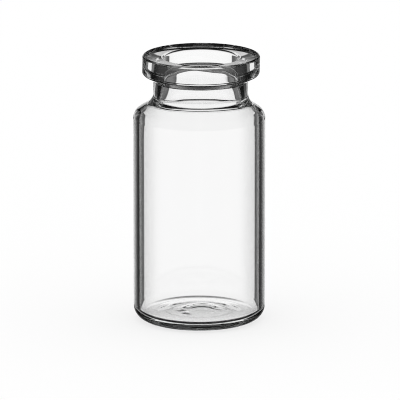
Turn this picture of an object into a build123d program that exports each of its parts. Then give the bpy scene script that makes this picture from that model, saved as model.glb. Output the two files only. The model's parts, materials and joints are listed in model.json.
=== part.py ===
from build123d import *

import math
import os

# A clear glass laboratory vial of about 10 ml, with an open crimp finish for 20 mm closures.
# It is formed from one length of tube, so it is one solid: a single section turned about Z.
# The origin is the middle of the ring it stands on, and +Z runs up the axis to the mouth.

# Driving sizes, in millimetres and degrees
overall_height = 46.0

body_diameter = 22.5
body_wall = 1.0

heel_radius = 2.5  # outside, where the body turns into the base
heel_inner_radius = 1.0
base_thickness = 1.5  # at the standing ring

push_up_diameter = 14.4  # the shallow hollow under the base
push_up_depth = 0.4
push_up_blend = 6.0

floor_dome_diameter = 15.2  # a gentler rise inside
floor_dome_height = 0.25
floor_dome_blend = 5.0

shoulder_drop = 7.8  # from the rim down to where the shoulder's slope would meet the neck
shoulder_slope = 33.0  # above the horizontal
shoulder_radius = 1.9

neck_diameter = 16.1
neck_root_radius = 2.45  # the hollow curve from shoulder to neck

flange_diameter = 20.0
flange_side = 3.2  # height of the straight side, edges included
flange_under_slope = 30.0  # above the horizontal
flange_lower_radius = 0.8
flange_upper_radius = 0.35
flange_root_radius = 0.3

bore_diameter = 12.6
mouth_radius = 0.6
bore_depth = 4.5  # from the rim to where the bore starts to widen
bore_end_blend = 4.0

throat_diameter = 13.8  # where the bore, now a little wider, opens into the shoulder
throat_depth = 7.8  # below the rim
throat_radius = 0.8
shoulder_inner_slope = 39.0  # steeper than the outside, as the shoulder thickens towards the neck
shoulder_inner_radius = 3.6

# Radii
body_radius = body_diameter / 2
inner_radius = body_radius - body_wall
neck_radius = neck_diameter / 2
flange_radius = flange_diameter / 2
bore_radius = bore_diameter / 2
throat_bore_radius = throat_diameter / 2
push_up_radius = push_up_diameter / 2
floor_dome_radius = floor_dome_diameter / 2

# Heights of the outside corners, before they are rounded
shoulder_rise = math.tan(math.radians(shoulder_slope))
flange_rise = math.tan(math.radians(flange_under_slope))
neck_corner = overall_height - shoulder_drop
shoulder_corner = neck_corner - (body_radius - neck_radius) * shoulder_rise
flange_lower_corner = overall_height - flange_side
flange_root_corner = flange_lower_corner - (flange_radius - neck_radius) * flange_rise

# Heights of the inside corners, the same way
bore_end = overall_height - bore_depth
throat_corner = overall_height - throat_depth
inner_shoulder_rise = math.tan(math.radians(shoulder_inner_slope))
inner_shoulder_corner = throat_corner - (inner_radius - throat_bore_radius) * inner_shoulder_rise

# The section's two ends, at the edges of the push-up and of the dome inside
ring_edge = (push_up_radius, 0)
floor_edge = (floor_dome_radius, base_thickness)

# The corners between them and their radii: up the outside, over the rim and down the inside
corners = [
    ((body_radius, 0), heel_radius),
    ((body_radius, shoulder_corner), shoulder_radius),
    ((neck_radius, neck_corner), neck_root_radius),
    ((neck_radius, flange_root_corner), flange_root_radius),
    ((flange_radius, flange_lower_corner), flange_lower_radius),
    ((flange_radius, overall_height), flange_upper_radius),
    ((bore_radius, overall_height), mouth_radius),
    ((bore_radius, bore_end), bore_end_blend),
    ((throat_bore_radius, throat_corner), throat_radius),
    ((inner_radius, inner_shoulder_corner), shoulder_inner_radius),
    ((inner_radius, base_thickness), heel_inner_radius),
]


def dome(edge, rise):
    """A shallow arc from the edge up to the axis, level where it meets the axis."""
    width, height = edge
    radius = (width**2 + rise**2) / (2 * rise)
    half_angle = math.degrees(math.asin(width / radius))
    return CenterArc((0, height + rise - radius), radius, 90 - half_angle, half_angle)


with BuildPart() as vial:
    with BuildSketch(Plane.XZ) as section:
        with BuildLine():
            FilletPolyline(
                [ring_edge, *[corner for corner, _ in corners], floor_edge],
                radius=[radius for _, radius in corners],
            )
            floor_dome = dome(floor_edge, floor_dome_height)
            push_up = dome(ring_edge, push_up_depth)
            Line(floor_dome @ 1, push_up @ 1)
        make_face()
        fillet(section.vertices().sort_by_distance(floor_edge)[0], floor_dome_blend)
        fillet(section.vertices().sort_by_distance(ring_edge)[0], push_up_blend)
    revolve(axis=Axis.Z)

vial.part.label = "vial"
os.makedirs("parts", exist_ok=True)
export_step(vial.part, "parts/vial.step")

chamber_volume = math.pi * inner_radius**2 * (inner_shoulder_corner - base_thickness) / 1000
print(f"glass {vial.part.volume / 1000:.2f} ml, room below the shoulder about {chamber_volume:.1f} ml")
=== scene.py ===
import json
import math

import bmesh
import bpy
from mathutils import Matrix, Vector, noise


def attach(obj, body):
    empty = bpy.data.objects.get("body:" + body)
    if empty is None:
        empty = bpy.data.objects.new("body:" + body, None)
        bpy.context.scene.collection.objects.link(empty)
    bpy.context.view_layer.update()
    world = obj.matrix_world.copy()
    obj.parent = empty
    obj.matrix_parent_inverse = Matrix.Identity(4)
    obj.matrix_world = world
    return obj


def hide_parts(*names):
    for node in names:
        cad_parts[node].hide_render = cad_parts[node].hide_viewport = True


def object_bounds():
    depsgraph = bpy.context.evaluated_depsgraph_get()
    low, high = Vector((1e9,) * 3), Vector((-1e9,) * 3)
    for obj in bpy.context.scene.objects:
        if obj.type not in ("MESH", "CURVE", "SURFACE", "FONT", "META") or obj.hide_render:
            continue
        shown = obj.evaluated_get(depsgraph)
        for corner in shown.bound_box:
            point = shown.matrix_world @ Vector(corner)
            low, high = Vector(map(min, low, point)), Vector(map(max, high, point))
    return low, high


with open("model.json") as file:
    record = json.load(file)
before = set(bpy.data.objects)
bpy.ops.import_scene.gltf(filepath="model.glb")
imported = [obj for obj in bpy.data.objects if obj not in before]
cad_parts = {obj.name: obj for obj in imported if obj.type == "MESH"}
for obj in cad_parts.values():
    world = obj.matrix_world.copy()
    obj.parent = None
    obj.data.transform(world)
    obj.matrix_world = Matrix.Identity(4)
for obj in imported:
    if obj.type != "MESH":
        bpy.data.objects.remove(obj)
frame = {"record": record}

# A clear glass crimp-neck vial on a pale floor, lit as glass is in bright field: a white sheet behind it and
# dark to the sides, so that its edges draw themselves in black. Everything is in metres, with the vial's axis
# on Z and its standing ring on the floor.

mm = 0.001
scene = bpy.context.scene
cadBox = [list(corner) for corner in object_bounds()]
mounts = {mount["name"]: mount["dims"] for mount in frame["record"]["mounts"]}

vialShape = {
    "height": cadBox[1][2],
    "bodyRadius": cadBox[1][0],
    "bodyWall": 1.0 * mm,
    "heelRadius": 2.5 * mm,  # outside, from the body into the base
    "heelInnerRadius": 1.0 * mm,
    "baseThickness": 1.5 * mm,
    "pushUpRadius": 7.2 * mm,  # the shallow hollow underneath
    "pushUpDepth": 0.4 * mm,
    "pushUpBlend": 6.0 * mm,
    "floorDomeRadius": 7.6 * mm,  # a gentler rise inside
    "floorDomeHeight": 0.25 * mm,
    "floorDomeBlend": 5.0 * mm,
    "shoulderDrop": 7.8 * mm,  # from the rim to where the shoulder's slope would meet the neck
    "shoulderSlope": math.radians(33),
    "shoulderRadius": 1.9 * mm,
    "neckRadius": 8.05 * mm,
    "neckRootRadius": 2.45 * mm,
    "flangeRadius": mounts["crimp_flange"]["r_mm"] * mm,
    "flangeSide": 3.2 * mm,
    "flangeUnderSlope": math.radians(30),
    "flangeLowerRadius": 0.8 * mm,
    "flangeUpperRadius": 0.35 * mm,
    "flangeRootRadius": 0.3 * mm,
    "boreRadius": mounts["mouth"]["r_mm"] * mm,
    "mouthRadius": 0.6 * mm,
    "rimBevel": math.radians(6.5),  # the sealing face falls a little towards the bore
    "boreDepth": 4.5 * mm,  # from the rim to where the bore starts to widen
    "boreEndBlend": 4.0 * mm,
    "throatRadius": 6.9 * mm,
    "throatDepth": 7.8 * mm,
    "throatBlend": 0.4 * mm,
    "innerShoulderSlope": math.radians(36.5),
    "innerShoulderBlend": 1.5 * mm,
    "leanFrom": 36.2 * mm,  # the finish was formed a little to one side
    "leanNeck": 39.2 * mm,
    "neckLean": 0.22 * mm,
    "rimLean": 0.32 * mm,
}
vialMesh = {
    "turns": 256,  # faces round the vial
    "arcStep": math.radians(3),  # how finely the section's curves are cut
    "runStep": 1.2 * mm,  # and how long an edge of it may be
    "floorStep": 0.4 * mm,  # finer on the floor, for the seal mark
}


def sectionPoint(radius, height):
    return Vector((radius, 0, height))


# Draws the section on in a straight run
def runTo(bm, tip, end):
    start = tip.co.copy()
    count = max(1, math.ceil((end - start).length / vialMesh["runStep"]))
    for i in range(count):
        tip = bmesh.ops.extrude_vert_indiv(bm, verts=[tip])["verts"][0]
        tip.co = start.lerp(end, (i + 1) / count)
    return tip


# Draws the section on in an arc; heading and turn are angles from outwards towards up
def turnBy(bm, tip, heading, turn, radius, longest=vialMesh["runStep"]):
    side = math.copysign(radius, turn)
    centre = tip.co + Vector((-math.sin(heading), 0, math.cos(heading))) * side
    steps = math.ceil(max(abs(turn) / vialMesh["arcStep"], abs(turn) * radius / longest))
    arc = bmesh.ops.spin(bm, geom=[tip], cent=centre, axis=(0, -1, 0), angle=turn, steps=steps)
    return arc["geom_last"][0]


# Runs on to a corner and round it
def roundCorner(bm, tip, before, corner, after, radius):
    arrive, leave = (corner - before).normalized(), (after - corner).normalized()
    turn = math.atan2(arrive.x * leave.z - arrive.z * leave.x, arrive.dot(leave))
    tip = runTo(bm, tip, corner - arrive * radius * math.tan(abs(turn) / 2))
    return turnBy(bm, tip, math.atan2(arrive.z, arrive.x), turn, radius)


# A dome's radius, the angle it falls away by, and where its blend meets the flat round it
def domeArcs(edgeRadius, rise, blend):
    radius = (edgeRadius**2 + rise**2) / (2 * rise)
    reach = math.sqrt((radius + blend) ** 2 - (blend + radius - rise) ** 2)
    return radius, math.asin(reach / (radius + blend)), reach


# The rim's top edge peaks at the full height once it is rounded
def rimCorner(s):
    return s["height"] + s["flangeUpperRadius"] * (math.tan(math.pi / 4 + s["rimBevel"] / 2) - 1)


def outsideCorners(s):
    neckCorner = s["height"] - s["shoulderDrop"]
    shoulderFall = (s["bodyRadius"] - s["neckRadius"]) * math.tan(s["shoulderSlope"])
    flangeLower = s["height"] - s["flangeSide"]
    flangeFall = (s["flangeRadius"] - s["neckRadius"]) * math.tan(s["flangeUnderSlope"])
    return [
        (s["bodyRadius"], 0, s["heelRadius"]),
        (s["bodyRadius"], neckCorner - shoulderFall, s["shoulderRadius"]),
        (s["neckRadius"], neckCorner, s["neckRootRadius"]),
        (s["neckRadius"], flangeLower - flangeFall, s["flangeRootRadius"]),
        (s["flangeRadius"], flangeLower, s["flangeLowerRadius"]),
        (s["flangeRadius"], rimCorner(s), s["flangeUpperRadius"]),
    ]


def insideCorners(s):
    bevelFall = (s["flangeRadius"] - s["boreRadius"]) * math.tan(s["rimBevel"])
    innerRadius = s["bodyRadius"] - s["bodyWall"]
    throat = s["height"] - s["throatDepth"]
    innerFall = (innerRadius - s["throatRadius"]) * math.tan(s["innerShoulderSlope"])
    return [
        (s["boreRadius"], rimCorner(s) - bevelFall, s["mouthRadius"]),
        (s["boreRadius"], s["height"] - s["boreDepth"], s["boreEndBlend"]),
        (s["throatRadius"], throat, s["throatBlend"]),
        (innerRadius, throat - innerFall, s["innerShoulderBlend"]),
        (innerRadius, s["baseThickness"], s["heelInnerRadius"]),
    ]


def drawSection(bm, s):
    corners = outsideCorners(s) + insideCorners(s)
    under, underAngle, underReach = domeArcs(s["pushUpRadius"], s["pushUpDepth"], s["pushUpBlend"])
    floor, floorAngle, floorReach = domeArcs(s["floorDomeRadius"], s["floorDomeHeight"], s["floorDomeBlend"])

    tip = bm.verts.new(sectionPoint(0, s["pushUpDepth"]))
    tip = turnBy(bm, tip, 0, -underAngle, under)
    tip = turnBy(bm, tip, -underAngle, underAngle, s["pushUpBlend"])
    points = [sectionPoint(r, z) for r, z, _ in corners]
    points = [sectionPoint(underReach, 0), *points, sectionPoint(floorReach, s["baseThickness"])]
    for before, corner, after, (_, _, radius) in zip(points, points[1:], points[2:], corners):
        tip = roundCorner(bm, tip, before, corner, after, radius)
    tip = runTo(bm, tip, points[-1])
    tip = turnBy(bm, tip, math.pi, -floorAngle, s["floorDomeBlend"])
    turnBy(bm, tip, math.pi - floorAngle, floorAngle, floor, vialMesh["floorStep"])


# The finish is rolled hot and the tube's end is sealed in a flame, so neither is quite even
workedGlass = {
    "from": 33.5 * mm,  # the worked length of the tube, from the shoulder up
    "full": 38.5 * mm,
    "rim": 45.4 * mm,  # the rim is rolled flat
    "unevenness": 0.05 * mm,
    "lumpSize": 4.5 * mm,
    "smallLumps": (2.5, 0.4),  # how many times finer, and how strong
    "floorFrom": 0.7 * mm,  # what lies over this near the axis is the floor
    "ringRadius": 5.5 * mm,  # a faint ring on it
    "ringWidth": 0.35 * mm,
    "ringHeight": 0.05 * mm,
    "sealCentre": (0.4 * mm, -0.8 * mm),  # and inside that the mark where the tube closed
    "sealRadius": 3.3 * mm,
    "sealWander": 0.8 * mm,  # how far the mark strays from a circle
    "wanderTurns": 1.6,
    "sealWidth": 0.6 * mm,
    "sealHeight": 0.17 * mm,
    "heightTurns": 2.3,
}


def rise(value, start, end):
    return max(0, min(1, (value - start) / (end - start)))


def hump(distance, width):
    return math.exp(-((distance / width) ** 2))


# How much higher the floor is at a spot; the seal's mark fades towards the front
def sealMark(spot, w):
    offset = spot - Vector(w["sealCentre"])
    side = offset.normalized().to_3d()
    radius = w["sealRadius"] + w["sealWander"] * noise.noise(side * w["wanderTurns"])
    lump = noise.noise(side * w["heightTurns"] + Vector((0, 0, 5)))
    fullness = max(0, (1 + side.y + lump) / 2)
    mark = w["sealHeight"] * fullness * hump(offset.length - radius, w["sealWidth"])
    return mark + w["ringHeight"] * hump(spot.length - w["ringRadius"], w["ringWidth"])


def workGlass(bm, w, s):
    finer, strength = w["smallLumps"]
    for vert in bm.verts:
        place = vert.co.copy()
        reach = place.xy.length
        if reach < s["pushUpRadius"] and w["floorFrom"] < place.z < s["height"] / 2:
            vert.co.z += sealMark(place.xy, w)
            continue
        share = rise(place.z, w["from"], w["full"]) * rise(place.z, s["height"], w["rim"])
        share *= rise(reach, s["bodyRadius"], s["bodyRadius"] - s["bodyWall"])  # the outside stays true
        if share > 0:
            lumps = place / w["lumpSize"]
            wave = noise.noise(lumps) + strength * noise.noise(lumps * finer)
            vert.co.xy *= 1 + share * w["unevenness"] * wave / reach


def leanFinish(bm, s):
    for vert in bm.verts:
        blend = rise(vert.co.z, s["leanFrom"], s["leanNeck"])
        tip = max(0, (vert.co.z - s["leanNeck"]) / (s["height"] - s["leanNeck"]))
        vert.co.x += s["neckLean"] * blend * blend * (3 - 2 * blend) + (s["rimLean"] - s["neckLean"]) * tip


def placeMesh(bm, name):
    mesh = bpy.data.meshes.new(name)
    bm.to_mesh(mesh)
    bm.free()
    made = bpy.data.objects.new(name, mesh)
    scene.collection.objects.link(made)
    return made


def buildVial():
    bm = bmesh.new()
    drawSection(bm, vialShape)
    bmesh.ops.spin(
        bm, geom=bm.verts[:] + bm.edges[:], cent=(0, 0, 0), axis=(0, 0, 1),
        angle=math.tau, steps=vialMesh["turns"], use_merge=True,
    )
    bmesh.ops.remove_doubles(bm, verts=bm.verts, dist=0.001 * mm)
    bmesh.ops.recalc_face_normals(bm, faces=bm.faces)
    workGlass(bm, workedGlass, vialShape)
    leanFinish(bm, vialShape)
    for face in bm.faces:
        face.smooth = True
    return placeMesh(bm, "vialGlass")


glassLook = {
    "ior": 1.5,
    "tint": (0.93, 0.97, 0.96, 1),
    "tintDensity": 6.0,  # per metre
    "drawLines": 0.9 * mm,  # spacing of the faint lines the tube keeps from being drawn
    "drawLength": 60 * mm,
    "drawHeight": 0.0015 * mm,
    "ripples": 2.2 * mm,  # where the flame has worked it, soft ripples instead
    "rippleHeight": 0.006 * mm,
    "shoulderWork": (33 * mm, 38 * mm),
    "heelWork": (4.5 * mm, 1.5 * mm),
}


def mathNode(material, operation, first, second):
    node = material.node_tree.nodes.new("ShaderNodeMath")
    node.operation = operation
    for socket, value in zip(node.inputs, (first, second)):
        if isinstance(value, (int, float)):
            socket.default_value = value
        else:
            material.node_tree.links.new(value, socket)
    return node.outputs[0]


# Fades in from the first value to the second, either way round
def fade(material, angle, ends):
    node = material.node_tree.nodes.new("ShaderNodeMapRange")
    node.interpolation_type = "SMOOTHSTEP"
    node.inputs["From Min"].default_value = min(ends)
    node.inputs["From Max"].default_value = max(ends)
    if ends[0] > ends[1]:
        node.inputs["To Min"].default_value, node.inputs["To Max"].default_value = 1, 0
    material.node_tree.links.new(angle, node.inputs["Value"])
    return node.outputs["Result"]


# Drawn tube keeps faint lines along its length, and worked glass has soft ripples
def glassSurface(material, look):
    nodes, links = material.node_tree.nodes, material.node_tree.links
    place = nodes.new("ShaderNodeTexCoord").outputs["Object"]
    height = nodes.new("ShaderNodeSeparateXYZ")
    links.new(place, height.inputs[0])
    stretch = nodes.new("ShaderNodeMapping")
    stretch.inputs["Scale"].default_value = (1, 1, look["drawLines"] / look["drawLength"])
    links.new(place, stretch.inputs["Vector"])
    lines = nodes.new("ShaderNodeTexNoise")
    lines.inputs["Scale"].default_value = 1 / look["drawLines"]
    links.new(stretch.outputs["Vector"], lines.inputs["Vector"])
    ripples = nodes.new("ShaderNodeTexNoise")
    ripples.inputs["Scale"].default_value = 1 / look["ripples"]
    ripples.inputs["Detail"].default_value = 1
    links.new(place, ripples.inputs["Vector"])
    shoulder = fade(material, height.outputs["Z"], look["shoulderWork"])
    heel = fade(material, height.outputs["Z"], look["heelWork"])
    worked = mathNode(material, "MAXIMUM", shoulder, heel)
    rippled = mathNode(material, "MULTIPLY", ripples.outputs["Fac"], worked)
    rippled = mathNode(material, "MULTIPLY", rippled, look["rippleHeight"] / mm)
    plain = mathNode(material, "SUBTRACT", 1, worked)
    drawn = mathNode(material, "MULTIPLY", lines.outputs["Fac"], plain)
    drawn = mathNode(material, "MULTIPLY", drawn, look["drawHeight"] / mm)
    bump = nodes.new("ShaderNodeBump")
    bump.inputs["Distance"].default_value = mm
    links.new(mathNode(material, "ADD", rippled, drawn), bump.inputs["Height"])
    return bump.outputs["Normal"]


def clearGlass(look):
    material = bpy.data.materials.new("clearGlass")
    material.use_nodes = True
    nodes, links = material.node_tree.nodes, material.node_tree.links
    shader = nodes["Principled BSDF"]
    shader.inputs["Base Color"].default_value = (1, 1, 1, 1)
    shader.inputs["Roughness"].default_value = 0
    shader.inputs["IOR"].default_value = look["ior"]
    shader.inputs["Transmission Weight"].default_value = 1
    links.new(glassSurface(material, look), shader.inputs["Normal"])
    depth = nodes.new("ShaderNodeVolumeAbsorption")
    depth.inputs["Color"].default_value = look["tint"]
    depth.inputs["Density"].default_value = look["tintDensity"]
    links.new(depth.outputs["Volume"], nodes["Material Output"].inputs["Volume"])
    return material


camera = {
    "elevation": math.radians(13.5),
    "distance": 1.178,
    "pixelsPerMetre": 5867,
    "frame": 400,  # pixels
    "target": (0.12 * mm, 0, 20.69 * mm),
    "sensor": 36,
    "clip": (0.01, 100),
}


def buildCamera(c):
    data = bpy.data.cameras.new("camera")
    made = bpy.data.objects.new("camera", data)
    scene.collection.objects.link(made)
    back = Vector((0, -math.cos(c["elevation"]), math.sin(c["elevation"])))
    made.location = Vector(c["target"]) + back * c["distance"]
    made.rotation_euler = (math.pi / 2 - c["elevation"], 0, 0)
    data.sensor_width = c["sensor"]
    data.lens = c["sensor"] * c["distance"] * c["pixelsPerMetre"] / c["frame"]
    data.clip_start, data.clip_end = c["clip"]
    scene.camera = made
    return made


# What the glass sees: a lit sheet behind it with a dim margin to the sides, a pale bench low in front, and a
# little light overhead. All else is dark. Angles are in degrees: sideways from straight behind the vial, and
# up from level. A pair of them is where the light starts to come in and where it is full.
surroundings = {
    "radius": 4.0,
    "facets": (120, 90),
    "sheetEdge": [(0, 1), (12.4, 1), (13.6, 0.1), (19, 0.21), (26, 0.2), (31, 0.02)],  # angle, strength
    "sheetFoot": (-44, -30),
    "sheetTop": (13, 4),
    "benchSide": (74, 100),
    "benchFoot": (-34, -26),
    "benchTop": (2, -6),
    "benchLight": 0.62,
    "overhead": (40, 58),
    "overheadLight": 0.12,
    "darkness": 0.006,
}


def band(material, angle, foot, top):
    return mathNode(material, "MULTIPLY", fade(material, angle, foot), fade(material, angle, top))


def surroundingLight(look):
    material = bpy.data.materials.new("surroundings")
    material.use_nodes = True
    nodes, links = material.node_tree.nodes, material.node_tree.links
    nodes.clear()
    angles = nodes.new("ShaderNodeUVMap")
    angles.uv_map = "angles"
    split = nodes.new("ShaderNodeSeparateXYZ")
    links.new(angles.outputs["UV"], split.inputs[0])
    side = mathNode(material, "MULTIPLY", split.outputs["X"], 180)
    up = mathNode(material, "MULTIPLY_ADD", split.outputs["Y"], 180)
    up.node.inputs[2].default_value = -90

    edge = nodes.new("ShaderNodeValToRGB")
    links.new(mathNode(material, "DIVIDE", side, 90), edge.inputs["Fac"])
    stops = edge.color_ramp.elements
    for angle, _ in look["sheetEdge"][1:-1]:
        stops.new(angle / 90)
    for stop, (angle, strength) in zip(stops, look["sheetEdge"]):
        stop.position = angle / 90
        stop.color = (strength, strength, strength, 1)

    sheet = band(material, up, look["sheetFoot"], look["sheetTop"])
    sheet = mathNode(material, "MULTIPLY", sheet, edge.outputs["Color"])
    bench = band(material, up, look["benchFoot"], look["benchTop"])
    bench = mathNode(material, "MULTIPLY", bench, fade(material, side, look["benchSide"]))
    bench = mathNode(material, "MULTIPLY", bench, look["benchLight"])
    above = mathNode(material, "MULTIPLY", fade(material, up, look["overhead"]), look["overheadLight"])
    light = mathNode(material, "MAXIMUM", mathNode(material, "MAXIMUM", sheet, bench), above)
    light = mathNode(material, "MAXIMUM", light, look["darkness"])
    glow = nodes.new("ShaderNodeEmission")
    links.new(light, glow.inputs["Strength"])
    output = nodes.new("ShaderNodeOutputMaterial")
    links.new(glow.outputs[0], output.inputs["Surface"])
    return material


# A ball round the vial that only the glass sees. It moves with the camera, as a turntable set does.
def buildSurroundings(look, cameraObject, c):
    bm = bmesh.new()
    around, upwards = look["facets"]
    bmesh.ops.create_uvsphere(bm, u_segments=around, v_segments=upwards, radius=look["radius"])
    layer = bm.loops.layers.uv.new("angles")
    for face in bm.faces:
        for loop in face.loops:
            out = loop.vert.co.normalized()
            side = abs(math.atan2(out.x, out.y)) if out.xy.length > 1e-6 else 0
            loop[layer].uv = (side / math.pi, math.asin(max(-1, min(1, out.z))) / math.pi + 0.5)
    toCamera = Matrix.Rotation(c["elevation"] - math.pi / 2, 3, "X")
    bmesh.ops.rotate(bm, verts=bm.verts, cent=(0, 0, 0), matrix=toCamera)
    bmesh.ops.translate(bm, verts=bm.verts, vec=(0, 0, -c["distance"]))
    ball = placeMesh(bm, "surroundings")
    ball.parent = cameraObject
    ball.data.materials.append(surroundingLight(look))
    ball.visible_camera = False
    ball.visible_diffuse = False
    ball.visible_shadow = False
    return ball


floorLook = {
    "size": 3.0,
    "ownLight": 0.75,  # keeps the shadow on the white floor faint
}


def buildFloor(look):
    bm = bmesh.new()
    bmesh.ops.create_grid(bm, x_segments=1, y_segments=1, size=look["size"])
    floor = placeMesh(bm, "floor")
    pale = bpy.data.materials.new("paleFloor")
    pale.use_nodes = True
    nodes, links = pale.node_tree.nodes, pale.node_tree.links
    nodes.clear()
    diffuse = nodes.new("ShaderNodeBsdfDiffuse")
    diffuse.inputs["Color"].default_value = (1, 1, 1, 1)
    glow = nodes.new("ShaderNodeEmission")
    blend = nodes.new("ShaderNodeMixShader")
    blend.inputs["Fac"].default_value = look["ownLight"]
    links.new(diffuse.outputs[0], blend.inputs[1])
    links.new(glow.outputs[0], blend.inputs[2])
    clear = nodes.new("ShaderNodeBsdfTransparent")  # a view from below looks through the floor
    sides = nodes.new("ShaderNodeMixShader")
    links.new(nodes.new("ShaderNodeNewGeometry").outputs["Backfacing"], sides.inputs["Fac"])
    links.new(blend.outputs[0], sides.inputs[1])
    links.new(clear.outputs[0], sides.inputs[2])
    output = nodes.new("ShaderNodeOutputMaterial")
    links.new(sides.outputs[0], output.inputs["Surface"])
    floor.data.materials.append(pale)
    floor.visible_transmission = False  # the glass sees the surroundings instead
    floor.visible_glossy = False
    return floor


def buildWorld():
    world = bpy.data.worlds.new("white")
    scene.world = world
    world.use_nodes = True
    world.node_tree.nodes["Background"].inputs["Color"].default_value = (1, 1, 1, 1)
    world.node_tree.nodes["Background"].inputs["Strength"].default_value = 1


vial = buildVial()
vial.data.materials.append(clearGlass(glassLook))
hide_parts("vial")
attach(vial, "root")
print("vial", len(vial.data.polygons), "faces")

cameraObject = buildCamera(camera)
buildSurroundings(surroundings, cameraObject, camera)
buildFloor(floorLook)
buildWorld()
scene.view_settings.view_transform = "Standard"
scene.cycles.filter_width = 1.0  # as crisp as the photograph
lightBounces = 32  # enough for light caught inside the flange
scene.cycles.max_bounces = lightBounces
scene.cycles.transmission_bounces = lightBounces
scene.cycles.glossy_bounces = lightBounces
print("studio set")
